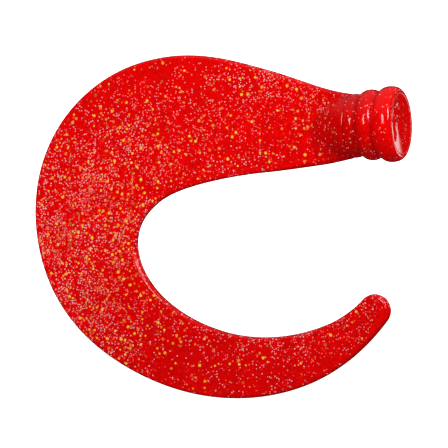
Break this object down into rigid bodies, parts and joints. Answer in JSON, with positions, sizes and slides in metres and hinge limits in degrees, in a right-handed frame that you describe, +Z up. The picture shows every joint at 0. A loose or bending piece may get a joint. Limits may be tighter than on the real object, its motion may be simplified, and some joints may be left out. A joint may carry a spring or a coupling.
{
  "type": "soft plastic curl tail",
  "caption": "Soft curl tail with a ribbed plug that presses into a fishing lure body, and a flat sickle blade that wags and opens as the lure is pulled through the water.",
  "frame": {"origin": "centre of the plug's front rim, on the plug's axis", "axes": "+X out of the plug along its axis, away from the blade; +Z up; the flat blade lies in the XZ plane and is symmetric about it"},
  "size_m": [0.1233, 0.0234, 0.107],
  "materials": {
    "red_plastisol": "soft translucent red plastisol, satin to glossy, filled with fine silver and larger gold glitter"
  },
  "bodies": {
    "plug": {"plug_flange": "red_plastisol", "plug_rib": "red_plastisol", "plug_collar": "red_plastisol", "neck": "red_plastisol"},
    "blade_link_01": {"blade_link_01": "red_plastisol"},
    "blade_link_02": {"blade_link_02": "red_plastisol"},
    "blade_link_03": {"blade_link_03": "red_plastisol"},
    "blade_link_04": {"blade_link_04": "red_plastisol"},
    "blade_link_05": {"blade_link_05": "red_plastisol"},
    "blade_link_06": {"blade_link_06": "red_plastisol"},
    "blade_link_07": {"blade_link_07": "red_plastisol"},
    "blade_link_08": {"blade_link_08": "red_plastisol"},
    "blade_link_09": {"blade_link_09": "red_plastisol"},
    "blade_link_10": {"blade_link_10": "red_plastisol"},
    "blade_link_11": {"blade_link_11": "red_plastisol"},
    "tip": {"tip": "red_plastisol"}
  },
  "joints": [
    {"name": "shoulder_sweep", "type": "hinge", "parent": "plug", "child": "blade_link_01", "pos_m": [-0.03495, 0, 0.00123], "axis": [-0.1022, 0, -0.9948], "range_deg": [-15, 15], "stiffness_Nm_per_rad": 0.012},
    {"name": "shoulder_curl", "type": "hinge", "parent": "blade_link_01", "child": "blade_link_02", "pos_m": [-0.05186, 0, 0.00299], "axis": [0.0122, 0.9999, 0.0122], "range_deg": [-3, 8], "stiffness_Nm_per_rad": 0.5},
    {"name": "shoulder_sweep_03", "type": "hinge", "parent": "blade_link_02", "child": "blade_link_03", "pos_m": [-0.06884, 0, 0.00351], "axis": [0.0612, 0, -0.9981], "range_deg": [-15, 15], "stiffness_Nm_per_rad": 0.012},
    {"name": "shoulder_curl_04", "type": "hinge", "parent": "blade_link_03", "child": "blade_link_04", "pos_m": [-0.08534, 0, -0.00019], "axis": [0.0122, 0.9999, 0.0122], "range_deg": [-1.8, 4.8], "stiffness_Nm_per_rad": 0.4},
    {"name": "shoulder_sweep_05", "type": "hinge", "parent": "blade_link_04", "child": "blade_link_05", "pos_m": [-0.09855, 0, -0.01059], "axis": [0.8, 0, -0.5999], "range_deg": [-9, 9], "stiffness_Nm_per_rad": 0.012},
    {"name": "tail_curl_06", "type": "hinge", "parent": "blade_link_05", "child": "blade_link_06", "pos_m": [-0.10484, 0, -0.02618], "axis": [0.0122, 0.9999, 0.0122], "range_deg": [-1.8, 4.8], "stiffness_Nm_per_rad": 0.3},
    {"name": "tail_sweep_07", "type": "hinge", "parent": "blade_link_06", "child": "blade_link_07", "pos_m": [-0.10263, 0, -0.04285], "axis": [0.9284, 0, 0.3715], "range_deg": [-9, 9], "stiffness_Nm_per_rad": 0.006},
    {"name": "tail_curl", "type": "hinge", "parent": "blade_link_07", "child": "blade_link_08", "pos_m": [-0.09315, 0, -0.05681], "axis": [0.0122, 0.9999, 0.0122], "range_deg": [-3, 8], "stiffness_Nm_per_rad": 0.2},
    {"name": "tail_sweep", "type": "hinge", "parent": "blade_link_08", "child": "blade_link_09", "pos_m": [-0.07932, 0, -0.0666], "axis": [0.4561, 0, 0.8899], "range_deg": [-15, 15], "stiffness_Nm_per_rad": 0.004},
    {"name": "tail_curl_10", "type": "hinge", "parent": "blade_link_09", "child": "blade_link_10", "pos_m": [-0.06335, 0, -0.07228], "axis": [0.0122, 0.9999, 0.0122], "range_deg": [-3, 8], "stiffness_Nm_per_rad": 0.08},
    {"name": "tail_sweep_11", "type": "hinge", "parent": "blade_link_10", "child": "blade_link_11", "pos_m": [-0.04645, 0, -0.07348], "axis": [-0.0676, 0, 0.9977], "range_deg": [-15, 15], "stiffness_Nm_per_rad": 0.002},
    {"name": "tail_curl_12", "type": "hinge", "parent": "blade_link_11", "child": "tip", "pos_m": [-0.02989, 0, -0.06992], "axis": [0.0122, 0.9999, 0.0122], "range_deg": [-3, 8], "stiffness_Nm_per_rad": 0.012}
  ],
  "couplings": [
    {"joint": "shoulder_sweep_03", "follows": "shoulder_sweep", "ratio": 1},
    {"joint": "shoulder_curl_04", "follows": "shoulder_curl", "ratio": 0.6},
    {"joint": "shoulder_sweep_05", "follows": "shoulder_sweep", "ratio": 0.6},
    {"joint": "tail_curl_06", "follows": "tail_curl", "ratio": 0.6},
    {"joint": "tail_sweep_07", "follows": "tail_sweep", "ratio": 0.6},
    {"joint": "tail_curl_10", "follows": "tail_curl", "ratio": 1},
    {"joint": "tail_sweep_11", "follows": "tail_sweep", "ratio": 1},
    {"joint": "tail_curl_12", "follows": "tail_curl", "ratio": 1}
  ]
}
